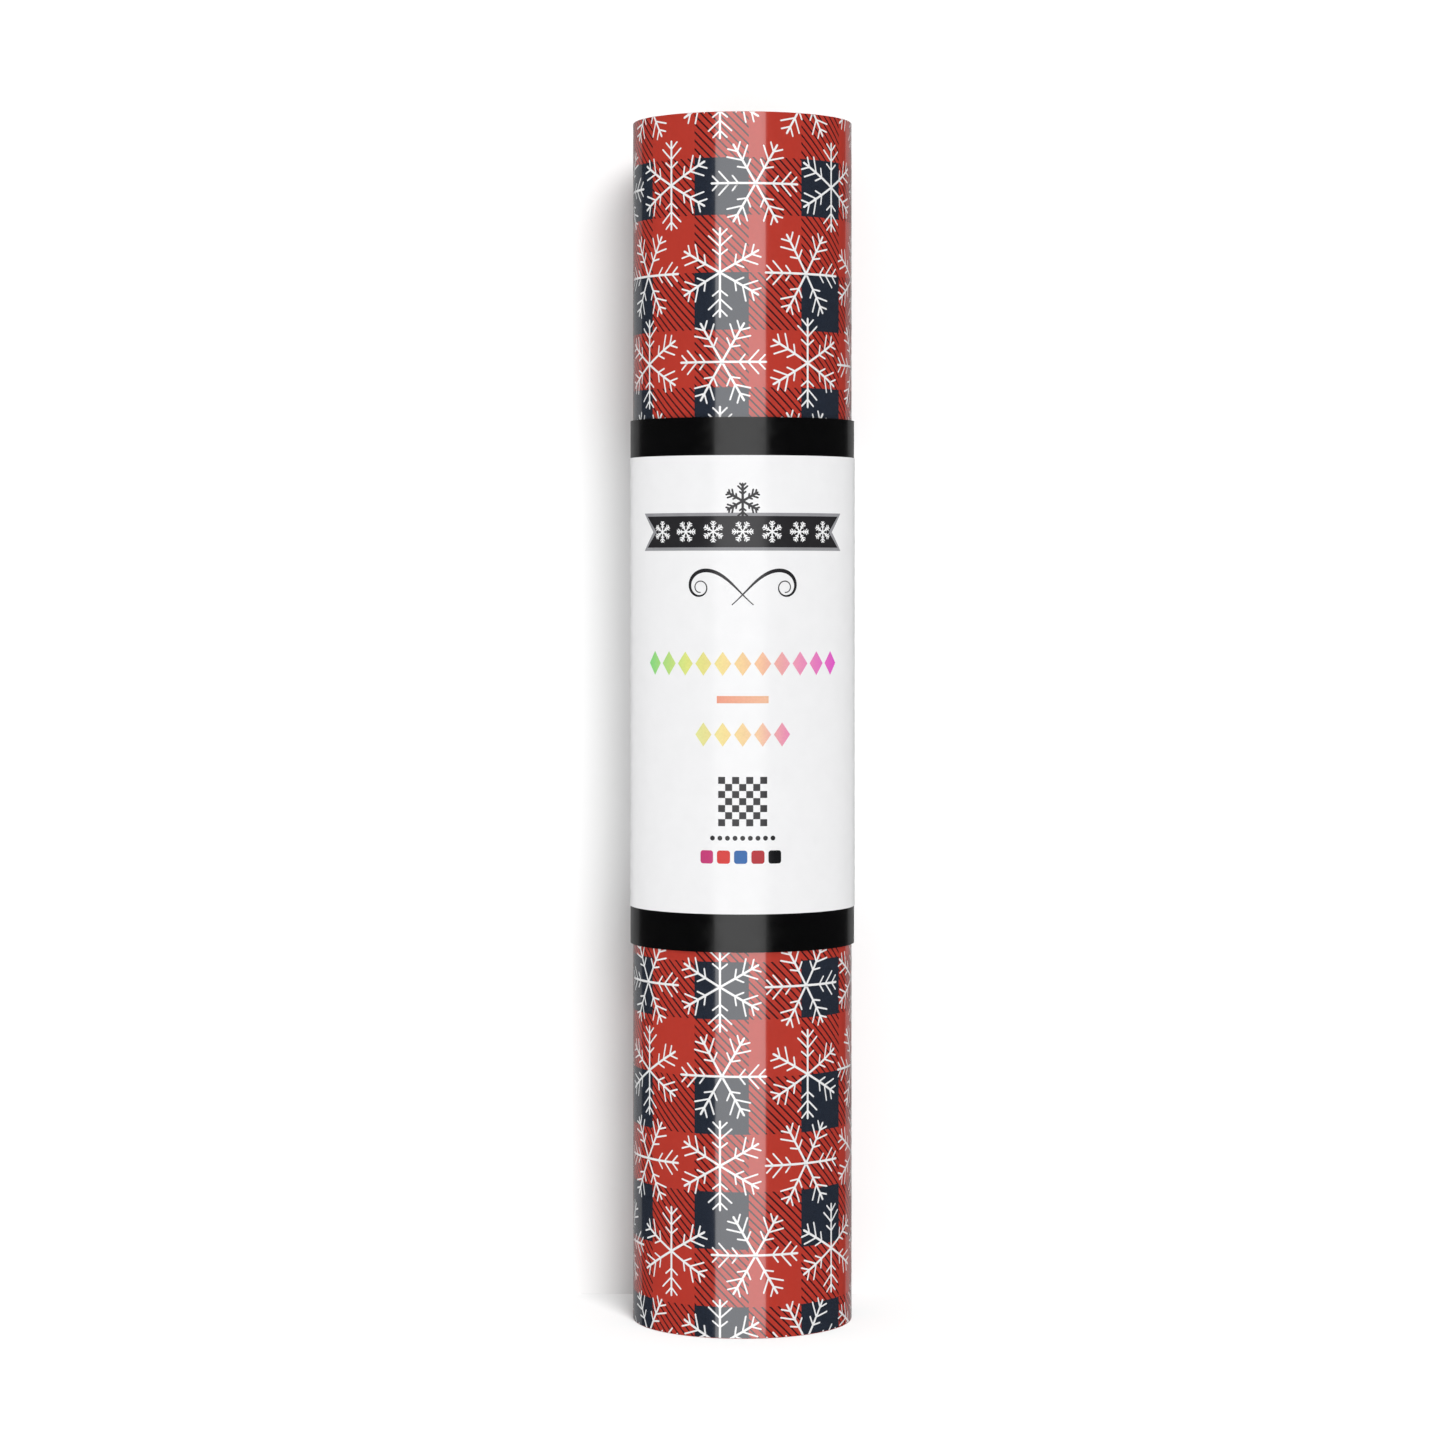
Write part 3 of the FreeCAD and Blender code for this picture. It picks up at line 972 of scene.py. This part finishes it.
    def lay_flake(self, sheet, shape, x, y, radius):
        points, faces = shape
        points = moved(points, x, y)
        inside = (
            self.left + radius < x < self.right - radius
            and self.low + radius < y < self.high - radius
        )
        if inside:
            self.wrapper.lay(sheet, points, faces, FLAKE_LIFT, INK_DEPTH)
            return
        for face in faces:
            part = clipped([points[i] for i in face], self.left, self.low, self.right, self.high)
            if part:
                self.wrapper.lay(sheet, part, [list(range(len(part)))], FLAKE_LIFT, INK_DEPTH)


class ROLL_OT_tapes(bpy.types.Operator):
    """Build the tapes that hold the film's free edge, and finish the hidden adhesive"""

    bl_idname = "roll.tapes"
    bl_label = "Tapes"

    TEETH = 14
    TOOTH = 0.45
    RAMP = 1.4  # how far the tape takes to come down from the film's free edge
    CLEAR = FLAKE_LIFT + 0.004  # keeps the tape above the print
    STEP = 0.8

    def execute(self, context):
        tape = clear_tape()
        for name, node in (("tape_tab_upper", "tail_tab_upper"), ("tape_tab_lower", "tail_tab_lower")):
            self.make_tab(name, node, tape)
        for node in ("core_tape", "band_glue_strip", "label_glue_strip"):
            glue = dry_adhesive()
            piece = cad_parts[node]
            for place in piece.material_slots:
                place.material = glue
        return {"FINISHED"}

    def make_tab(self, name, node, tape):
        """A tape whose two ends are toothed, lying over the step at the film's free edge."""
        low, high = heights(node)
        winding = film_winding()
        end = 360 * bpy.context.scene.roll_sizes.film_turns
        film = mm("film_thickness")
        reach = mm("tab_reach")
        radius = winding.radius(end) + film
        columns = round(2 * reach / self.STEP)
        rows = self.TEETH * 2
        sheet = Sheet()
        for face in (0, 1):
            for i in range(columns + 1):
                for j in range(rows + 1):
                    x = -reach + 2 * reach * i / columns
                    if i in (0, columns):
                        x += self.TOOTH * (j % 2) * (1 if i == 0 else -1)
                    y = low + (high - low) * j / rows
                    rise = self.surface_under(x, face)
                    at = end + span(x, radius)
                    at = min(at, end - 1e-6) if x <= 0 else at - 360
                    sheet.add_points([(*winding.point(at, rise), y)])
        self.skin(sheet, winding, columns, rows, end, reach, radius)
        piece = sheet.make(name, [tape])
        settle(piece, "roll", "tape", node)

    def surface_under(self, x, face):
        """How far the tape's face is above the inner face of the turn it lies on."""
        film = mm("film_thickness")
        tape = mm("tab_thickness") * (1 - face)
        if x <= 0:
            return film + tape + self.CLEAR
        part = min(x / self.RAMP, 1)
        ease = part * part * (3 - 2 * part)
        return film + tape + self.CLEAR + mm("film_pitch") * (1 - ease)

    def skin(self, sheet, winding, columns, rows, end, reach, radius):
        stride = rows + 1
        under = (columns + 1) * stride
        for i in range(columns):
            out = [
                winding.outward(end + span(-reach + 2 * reach * k / columns, radius))
                for k in (i, i + 1)
            ]
            for j in range(rows):
                a = i * stride + j
                b = a + stride
                u, v = i / columns, (i + 1) / columns
                s, t = j / rows, (j + 1) / rows
                spots = [on_map(u, s), on_map(v, s), on_map(v, t), on_map(u, t)]
                outward = [out[0], out[1], out[1], out[0]]
                sheet.add_face([a, b, b + 1, a + 1], outward, spots)
                back = [under + a, under + a + 1, under + b + 1, under + b]
                inward = [-out[0], -out[0], -out[1], -out[1]]
                sheet.add_face(back, inward, [spots[0], spots[3], spots[2], spots[1]])
        rim = [i * stride for i in range(columns + 1)]
        rim += [columns * stride + j for j in range(1, rows + 1)]
        rim += [i * stride + rows for i in range(columns - 1, -1, -1)]
        rim += [j for j in range(rows - 1, 0, -1)]
        for a, b in zip(rim, rim[1:] + rim[:1]):
            along = Vector(sheet.points[b]) - Vector(sheet.points[a])
            out = Vector((*sheet.points[a][:2], 0)).normalized()
            side = along.cross(out).normalized()
            sheet.add_face([b, a, under + a, under + b], [side] * 4, [on_map(0, 0)] * 4)


class ROLL_OT_band(bpy.types.Operator):
    """Build the black paper band"""

    bl_idname = "roll.band"
    bl_label = "Band"

    STEP = 1.5

    def execute(self, context):
        winding = band_winding()
        low, high = heights("black_band")
        lap = span(mm("band_overlap"), winding.start_radius)
        sheet = wound_sheet(
            winding, 0, 360 + lap, mm("band_thickness"), low, high, self.STEP
        )
        face = coated_paper("black varnished art paper", tint("black"), 0.15, 0.2)
        back = raw_paper("uncoated paper back", "B9B6B0", "A5A19A")
        edge = raw_paper("cut edge of black paper", "4A4848", "2C2B2B", 0.3)
        piece = sheet.make("band_paper", [face, back, edge])
        settle(piece, "band", "black_paper", "black_band")
        return {"FINISHED"}


class ROLL_OT_label(bpy.types.Operator):
    """Build the white label"""

    bl_idname = "roll.label"
    bl_label = "Label"

    STEP = 1.5

    def execute(self, context):
        winding = label_winding()
        band = band_winding()
        low, high = heights("white_label")
        first = span(mm("band_overlap"), band.start_radius)
        lap = span(mm("label_overlap"), winding.start_radius)
        sheet = wound_sheet(
            winding, first, 360 + first + lap, mm("label_thickness"), low, high, self.STEP
        )
        face = coated_paper("white varnished art paper", tint("label"), 0.012)
        back = raw_paper("white paper back", "ECEBE8", "DEDCD8")
        edge = raw_paper("cut edge of white paper", "F1F0EE", "D8D6D2", 0.3)
        piece = sheet.make("label_paper", [face, back, edge])
        settle(piece, "band", "label_paper", "white_label")
        return {"FINISHED"}


class ROLL_OT_label_print(bpy.types.Operator):
    """Print plain ornament on the label: a banner, a flourish, lozenges, a chequer and chips"""

    bl_idname = "roll.label_print"
    bl_label = "Label print"

    # heights of the ornaments' middles above the label's lower edge
    CREST, BANNER, FLOURISH, UPPER_ROW, BAR, LOWER_ROW, CHEQUER, BEADS, CHIPS = (
        102.6, 95.0, 81.0, 62.2, 53.3, 44.6, 28.0, 18.9, 14.2,
    )
    RAINBOW = ("8FE388", "E9F08A", "FBE39A", "FBC6A0", "F79FC0", "EC5FD0")
    SUNSET = ("EEF0A0", "FBE39A", "FBD0A8", "F58FC0")
    CHIP_COLOURS = ("C9407A", "D8322F", "2F66A8", "B3202C", "17171A")
    # half length, half height and depth of the notch of the banner, and of the rule round it
    BANNER_SHAPE = (28.2, 3.9, 3.8)
    RULE_SHAPE = (29.6, 4.7, 3.9)
    RULE_LIFT = 0.006
    CREST_SHAPE = (4.6, 0.62)  # radius and stroke of the crest, and of the banner's snowflakes
    BANNER_FLAKE = (2.7, 0.36)
    BANNER_PITCH = 7.4
    CELLS, CELL = 7, 1.75
    BEAD, BEAD_PITCH = 0.62, 1.9
    LOZENGE, LOZENGE_PITCH = (4.3, 6.0), 5.0
    BAR_HALF = (6.5, 0.9)
    CHIP, CHIP_CORNER, CHIP_PITCH, CHIP_SHIFT = 3.3, 0.7, 4.3, -0.5
    # the scroll's start, first heading in degrees and length; its bend per millimetre starts at
    # the first figure and grows by the second, as this power of the way along
    SCROLL_START, SCROLL_HEADING, SCROLL_LENGTH = (-2.7, -4.2), 40, 36.0
    SCROLL_BEND, SCROLL_CURL, SCROLL_POWER = 0.033, 0.83, 1.6
    SCROLL_STEPS = 120
    PEN_THIN, PEN_SWELL, PEN_FADE = 0.13, 0.34, 1.15

    def execute(self, context):
        low, high = heights("white_label")
        self.base = low
        winding = label_winding()
        self.wrapper = Wrapper(winding, 0, mm("label_thickness"), low, high)
        self.dark_piece()
        self.white_piece()
        upper = self.lozenges(self.UPPER_ROW, 11)
        lower = self.lozenges(self.LOWER_ROW, 5)
        self.fading_piece("label_lozenges_upper", self.RAINBOW, 23, upper)
        self.fading_piece("label_lozenges_lower", self.SUNSET, 12, lower)
        half, tall = self.BAR_HALF
        bar = [box_outline(-half, self.BAR - tall, half, self.BAR + tall)]
        self.fading_piece("label_bar", ("F2A086", "F7C3A0"), half, bar)
        self.chips_piece()
        return {"FINISHED"}

    def piece(self, name, groups, materials, lift=LABEL_INK_LIFT):
        """Groups of outlines, one group to a material, laid on the label as one piece."""
        sheet = Sheet()
        for number, outlines in enumerate(groups):
            for outline in outlines:
                points, faces = cut_fine([moved(outline, 0, self.base)], INK_STEP)
                self.wrapper.lay(sheet, points, faces, lift, INK_DEPTH, number)
        made = sheet.make(name, materials)
        return settle(made, "band", "label_paper")

    def fading_piece(self, name, stops, half_width, outlines):
        ink = fading_ink(f"fading ink {name[6:]}", stops, half_width)
        self.piece(name, [outlines], [ink])

    def lozenges(self, middle, count):
        width, height = self.LOZENGE
        shape = [(-width / 2, 0), (0, -height / 2), (width / 2, 0), (0, height / 2)]
        first = -(count - 1) / 2
        return [moved(shape, (first + i) * self.LOZENGE_PITCH, middle) for i in range(count)]

    def banner(self, half, tall, notch):
        """A ribbon with a notch cut in each end."""
        right = [(half, -tall), (half - notch, 0), (half, tall)]
        left = [(-x, y) for x, y in right[::-1]]
        return moved(right + left, 0, self.BANNER)

    def dark_piece(self):
        """Crest, banner, chequer and beads."""
        ink = coated_paper("dark offset ink", tint("label_dark"), 0.08)
        grey = coated_paper("grey offset ink", plain("9A9A9E"), 0.08)
        self.piece("label_banner_rule", [[self.banner(*self.RULE_SHAPE)]], [grey], self.RULE_LIFT)
        crest = moved(snowflake(*self.CREST_SHAPE), 0, self.CREST)
        cell, half = box_outline(0, 0, self.CELL, self.CELL), self.CELLS / 2
        chequer = [
            moved(cell, (i - half) * self.CELL, self.CHEQUER + (j - half) * self.CELL)
            for i in range(self.CELLS)
            for j in range(self.CELLS)
            if (i + j) % 2 == 0
        ]
        bead = disc(self.BEAD, 12)
        beads = [moved(bead, i * self.BEAD_PITCH, self.BEADS) for i in range(-4, 5)]
        shapes = [self.banner(*self.BANNER_SHAPE), crest, *chequer, *beads]
        self.piece("label_dark_ornament", [shapes], [ink])
        self.flourish(ink)

    def scroll(self):
        """Half of a mirrored scroll: it crosses the middle, rises and curls into a spiral."""
        point = Vector(self.SCROLL_START)
        heading = math.radians(self.SCROLL_HEADING)
        step = self.SCROLL_LENGTH / self.SCROLL_STEPS
        line = [point]
        for i in range(self.SCROLL_STEPS):
            curl = self.SCROLL_CURL * (i / self.SCROLL_STEPS) ** self.SCROLL_POWER
            heading += (self.SCROLL_BEND - curl) * step
            point = point + Vector((math.cos(heading), math.sin(heading))) * step
            line.append(point)
        return line

    def flourish(self, ink):
        """A mirrored pen scroll, thick where the pen falls and thin where it rises."""
        steps = self.SCROLL_STEPS
        raise_by = Vector((0, self.FLOURISH + self.base))
        sheet = Sheet()
        for mirror in (1, -1):
            line = [Vector((p.x * mirror, p.y)) + raise_by for p in self.scroll()]
            sides = []
            for k in range(steps + 1):
                ahead = (line[min(k + 1, steps)] - line[max(k - 1, 0)]).normalized()
                across = Vector((-ahead.y, ahead.x)) * mirror
                swell = math.sin(math.pi * min(1.0, self.PEN_FADE * k / steps)) ** 2
                half = self.PEN_THIN + self.PEN_SWELL * swell
                sides.append((tuple(line[k] - across * half), tuple(line[k] + across * half)))
            for i, (start, end) in enumerate(zip(sides, sides[1:])):
                quad = [start[0], end[0], end[1], start[1]]
                if mirror < 0:
                    quad.reverse()
                lift = LABEL_INK_LIFT + 0.01 * i / steps
                self.wrapper.lay(sheet, quad, [[0, 1, 2, 3]], lift, INK_DEPTH)
        settle(sheet.make("label_flourish", [ink]), "band", "label_paper")

    def white_piece(self):
        """Small snowflakes left white on the banner."""
        ink = coated_paper("white offset ink", tint("label"), 0.01)
        flakes = [
            moved(snowflake(*self.BANNER_FLAKE, 90 if i % 2 else 0), i * self.BANNER_PITCH, self.BANNER)
            for i in range(-3, 4)
        ]
        self.piece("label_banner_flakes", [flakes], [ink], LABEL_INK_LIFT + 0.012)

    def chips_piece(self):
        """A row of plain chips of the inks used."""
        inks = [
            coated_paper(f"spot ink {i + 1}", plain(hex_colour), 0.05)
            for i, hex_colour in enumerate(self.CHIP_COLOURS)
        ]
        chip = rounded_box(self.CHIP, self.CHIP_CORNER)
        places = [(i - 2) * self.CHIP_PITCH + self.CHIP_SHIFT for i in range(len(inks))]
        groups = [[moved(chip, place, self.CHIPS)] for place in places]
        self.piece("label_colour_chips", groups, inks)


# ---------------------------------------------------------------- stage


# azimuths in degrees, to the right of the front: the ends of the front light panel, and of the
# white wall behind, which the roll mirrors at its very sides
FRONT_PANEL = (-28.4, 24.3)
REAR_WALL = (-132.6, 139.6)


class ROLL_OT_stage(bpy.types.Operator):
    """Build the floor, the wall, the lights, the world and the camera"""

    bl_idname = "roll.stage"
    bl_label = "Stage"

    CAMERA_AWAY = 0.96
    CAMERA_HEIGHT = 0.190
    CAMERA_SIDE = -0.005
    LENS = 93.5
    SHIFT = -0.1028
    FLOOR_HALF = 6.0
    WALL_GAP = 0.0015
    WALL_HALF, WALL_TOP = 0.30, 0.50
    RAMP = math.radians(0.6)
    AMBIENT = 0.8
    PANEL_LIGHT = 1.84
    REAR_LIGHT = 0.216
    DIM_LIGHT = 0.024
    WHITE = 0.5
    GLOW = 0.08
    SUN_LIGHT = 3.6
    SUN_AZIMUTH, SUN_HEIGHT, SUN_WIDTH = 13, 28, 24  # degrees
    LAMP_HEIGHT, LAMP_AWAY = 14, 1.3
    LAMPS = (("key", 30, 0.6, 1.0), ("fill", -40, 0.9, 1.0))  # azimuth, size and watts

    def execute(self, context):
        scene = context.scene
        scene.view_settings.view_transform = "Standard"
        self.make_world(scene)
        self.make_floor_and_wall()
        self.make_lamps()
        self.make_camera(scene)
        return {"FINISHED"}

    def make_world(self, scene):
        """Even light all round. What shines shows a tall panel in front and the wall behind."""
        world = bpy.data.worlds.new("studio")
        world.use_nodes = True
        tree = world.node_tree
        tree.nodes.clear()
        ray = add(tree, "ShaderNodeLightPath")
        way = add(tree, "ShaderNodeTexCoord")
        parts = add(tree, "ShaderNodeSeparateXYZ", {"Vector": way.outputs["Generated"]})
        towards = add(tree, "ShaderNodeMath", {0: parts.outputs["Y"], 1: -1.0}, operation="MULTIPLY")
        azimuth = add(
            tree, "ShaderNodeMath", {0: parts.outputs["X"], 1: towards.outputs[0]}, operation="ARCTAN2"
        )
        azimuth = azimuth.outputs[0]
        panel = self.by_azimuth(tree, azimuth, FRONT_PANEL, self.PANEL_LIGHT, 0.0)
        rear = self.by_azimuth(tree, azimuth, REAR_WALL, 0.0, self.REAR_LIGHT)
        both = add(tree, "ShaderNodeMath", {0: panel, 1: rear}, operation="ADD").outputs[0]
        mirrored = add(tree, "ShaderNodeMath", {0: both, 1: self.DIM_LIGHT}, operation="ADD").outputs[0]
        strengths = {0: ray.outputs["Is Glossy Ray"], 2: self.AMBIENT, 3: mirrored}
        by_gloss = add(tree, "ShaderNodeMix", strengths).outputs[0]
        strengths = {0: ray.outputs["Is Camera Ray"], 2: by_gloss, 3: 1.0}
        by_camera = add(tree, "ShaderNodeMix", strengths)
        light = add(
            tree, "ShaderNodeBackground", {"Color": (1, 1, 1, 1), "Strength": by_camera.outputs[0]}
        )
        add(tree, "ShaderNodeOutputWorld", {"Surface": light.outputs[0]})
        scene.world = world

    def by_azimuth(self, tree, azimuth, limits, inside, outside):
        """One strength between two azimuths and another beyond them, with a narrow ramp at each."""
        steps = []
        for limit in map(math.radians, limits):
            ends = {"Value": azimuth, "From Min": limit - self.RAMP, "From Max": limit + self.RAMP}
            steps.append(add(tree, "ShaderNodeMapRange", ends).outputs["Result"])
        within = add(tree, "ShaderNodeMath", {0: steps[0], 1: steps[1]}, operation="SUBTRACT")
        ends = {"Value": within.outputs[0], "To Min": outside, "To Max": inside}
        return add(tree, "ShaderNodeMapRange", ends).outputs["Result"]

    def white_surface(self, name, one_sided):
        """White where it is lit, and grey where the roll's shadow falls."""
        material, tree = start_material(name)
        ray = add(tree, "ShaderNodeLightPath")
        paint = add(tree, "ShaderNodeBsdfDiffuse", {"Color": (self.WHITE, self.WHITE, self.WHITE, 1)})
        glow = add(tree, "ShaderNodeEmission", {"Strength": self.GLOW})
        lit = add(tree, "ShaderNodeAddShader", {0: paint.outputs[0], 1: glow.outputs[0]})
        seen = add(
            tree,
            "ShaderNodeMixShader",
            {0: ray.outputs["Is Camera Ray"], 1: paint.outputs[0], 2: lit.outputs[0]},
        )
        if one_sided:
            back = add(tree, "ShaderNodeNewGeometry").outputs["Backfacing"]
            clear = add(tree, "ShaderNodeBsdfTransparent")
            seen = add(tree, "ShaderNodeMixShader", {0: back, 1: seen.outputs[0], 2: clear.outputs[0]})
        add(tree, "ShaderNodeOutputMaterial", {"Surface": seen.outputs[0]})
        return material

    def make_plane(self, name, corners, material):
        mesh = bpy.data.meshes.new(name)
        mesh.from_pydata(corners, [], [(0, 1, 2, 3)])
        mesh.materials.append(material)
        plane = bpy.data.objects.new(name, mesh)
        bpy.context.scene.collection.objects.link(plane)
        plane.visible_glossy = False
        return plane

    def make_floor_and_wall(self):
        half = self.FLOOR_HALF
        ground = [(x, y, 0) for x, y in box_outline(-half, -half, half, half)]
        self.floor = self.make_plane("floor", ground, self.white_surface("white floor", one_sided=False))
        back = CAD_BOX[1][1] + self.WALL_GAP
        half = self.WALL_HALF
        card = [(x, back, z) for x, z in box_outline(-half, 0, half, self.WALL_TOP)]
        self.wall = self.make_plane("wall", card, self.white_surface("white wall", one_sided=True))
        self.wall.visible_diffuse = False
        self.wall.visible_transmission = False
        self.wall.visible_shadow = False

    def make_lamps(self):
        """Two weak lamps light the roll from each side of the front. Two suns light only the floor
        and the wall, and throw the roll's soft shadow to the left. None is mirrored."""
        middle = Vector((0, 0, CAD_BOX[1][2] / 2))
        for name, azimuth, size, power in self.LAMPS:
            lamp, towards = self.make_lamp(name, "AREA", azimuth, self.LAMP_HEIGHT, power)
            lamp.data.size = size
            lamp.location = middle + towards * self.LAMP_AWAY
        height = math.radians(self.SUN_HEIGHT)
        upright = math.cos(height) * math.cos(math.radians(self.SUN_AZIMUTH))
        level = math.sin(height)
        for name, surface, slope in (("wall sun", self.wall, upright), ("floor sun", self.floor, level)):
            strength = self.SUN_LIGHT / slope
            sun, _ = self.make_lamp(name, "SUN", self.SUN_AZIMUTH, self.SUN_HEIGHT, strength)
            sun.data.angle = math.radians(self.SUN_WIDTH)
            receivers = bpy.data.collections.new(f"lit by the {name}")
            receivers.objects.link(surface)
            sun.light_linking.receiver_collection = receivers

    def make_lamp(self, name, kind, azimuth, height, energy):
        """A lamp that shines on the roll from an azimuth to the right and a height, in degrees."""
        data = bpy.data.lights.new(name, kind)
        data.energy = energy
        lamp = bpy.data.objects.new(name, data)
        a, h = math.radians(azimuth), math.radians(height)
        towards = Vector((math.sin(a) * math.cos(h), -math.cos(a) * math.cos(h), math.sin(h)))
        lamp.rotation_euler = (-towards).to_track_quat("-Z", "Y").to_euler()
        lamp.visible_glossy = False
        lamp.visible_camera = False
        bpy.context.scene.collection.objects.link(lamp)
        return lamp, towards

    def make_camera(self, scene):
        data = bpy.data.cameras.new("camera")
        data.lens = self.LENS
        data.sensor_width = 36
        data.shift_y = self.SHIFT
        data.clip_start = 0.05
        data.clip_end = 40
        camera = bpy.data.objects.new("camera", data)
        camera.location = (self.CAMERA_SIDE, -self.CAMERA_AWAY, self.CAMERA_HEIGHT)
        camera.rotation_euler = (math.pi / 2, 0, 0)
        scene.collection.objects.link(camera)
        scene.camera = camera


# ---------------------------------------------------------------- the panel, and the order of work


OPERATORS = (
    ROLL_OT_core,
    ROLL_OT_film,
    ROLL_OT_print,
    ROLL_OT_tapes,
    ROLL_OT_band,
    ROLL_OT_label,
    ROLL_OT_label_print,
    ROLL_OT_stage,
)


class ROLL_PT_panel(bpy.types.Panel):
    """Lists the steps that build the roll"""

    bl_idname = "ROLL_PT_panel"
    bl_label = "Film roll"
    bl_space_type = "VIEW_3D"
    bl_region_type = "UI"
    bl_category = "Film roll"

    def draw(self, context):
        for operator in OPERATORS:
            self.layout.operator(operator.bl_idname)
        for group in (context.scene.roll_sizes, context.scene.roll_colours):
            box = self.layout.box()
            for name in group.__annotations__:
                box.prop(group, name)


CLASSES = (RollSizes, RollColours, *OPERATORS, ROLL_PT_panel)


def register():
    for cls in CLASSES:
        bpy.utils.register_class(cls)
    bpy.types.Scene.roll_sizes = bpy.props.PointerProperty(type=RollSizes)
    bpy.types.Scene.roll_colours = bpy.props.PointerProperty(type=RollColours)


def unregister():
    del bpy.types.Scene.roll_colours
    del bpy.types.Scene.roll_sizes
    for cls in reversed(CLASSES):
        bpy.utils.unregister_class(cls)


def main():
    register()
    bpy.ops.roll.core()
    bpy.ops.roll.film()
    bpy.ops.roll.print()
    bpy.ops.roll.tapes()
    bpy.ops.roll.band()
    bpy.ops.roll.label()
    bpy.ops.roll.label_print()
    bpy.ops.roll.stage()


if __name__ == "__main__":
    main()
